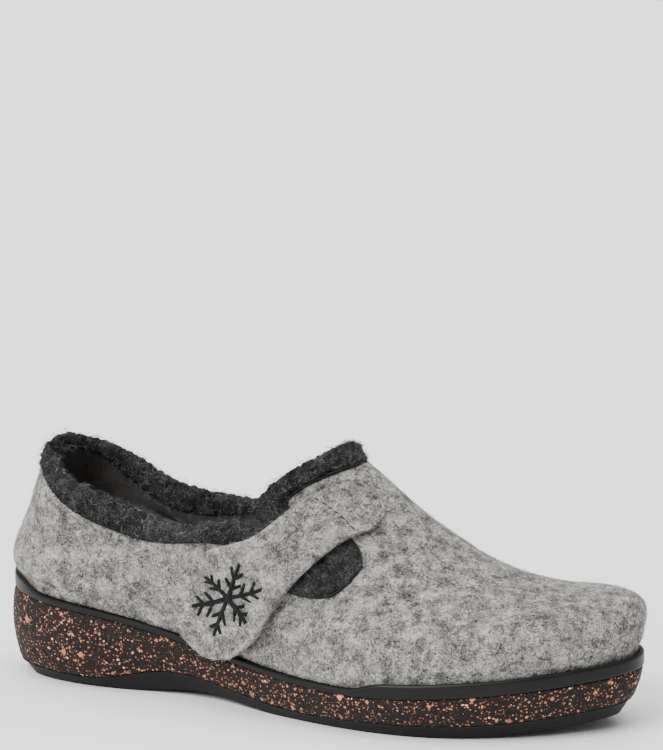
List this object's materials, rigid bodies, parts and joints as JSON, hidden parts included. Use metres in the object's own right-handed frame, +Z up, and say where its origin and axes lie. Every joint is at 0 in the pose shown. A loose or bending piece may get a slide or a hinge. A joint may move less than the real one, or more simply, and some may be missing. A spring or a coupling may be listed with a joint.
{
  "type": "house slipper",
  "caption": "Felt house slipper, right shoe: hollow felt upper, wool collar binding, closing strap with an embroidered tab, cork wedge, rubber rim and outsole.",
  "frame": {"origin": "middle of the flat spot under the heel, on the floor", "axes": "+X from the heel to the toe, +Z up, -Y to the outer side of the right foot"},
  "size_m": [0.2599, 0.0916, 0.0995],
  "materials": {
    "outsole_rubber": "satin black rubber",
    "cork_rubber": "matt brown-black cork and rubber with copper specks",
    "rim_rubber": "satin black rubber",
    "footbed_felt": "matt dark grey felt",
    "grey_felt": "matt heather grey wool felt",
    "boiled_wool": "matt charcoal boiled wool",
    "thread": "black embroidery thread"
  },
  "bodies": {
    "root": {"outsole": "outsole_rubber", "midsole": "cork_rubber", "rim": "rim_rubber", "insole": "footbed_felt", "upper": "grey_felt", "collar_binding": "boiled_wool", "strap": "grey_felt", "snowflake_embroidery": "thread"}
  },
  "joints": []
}
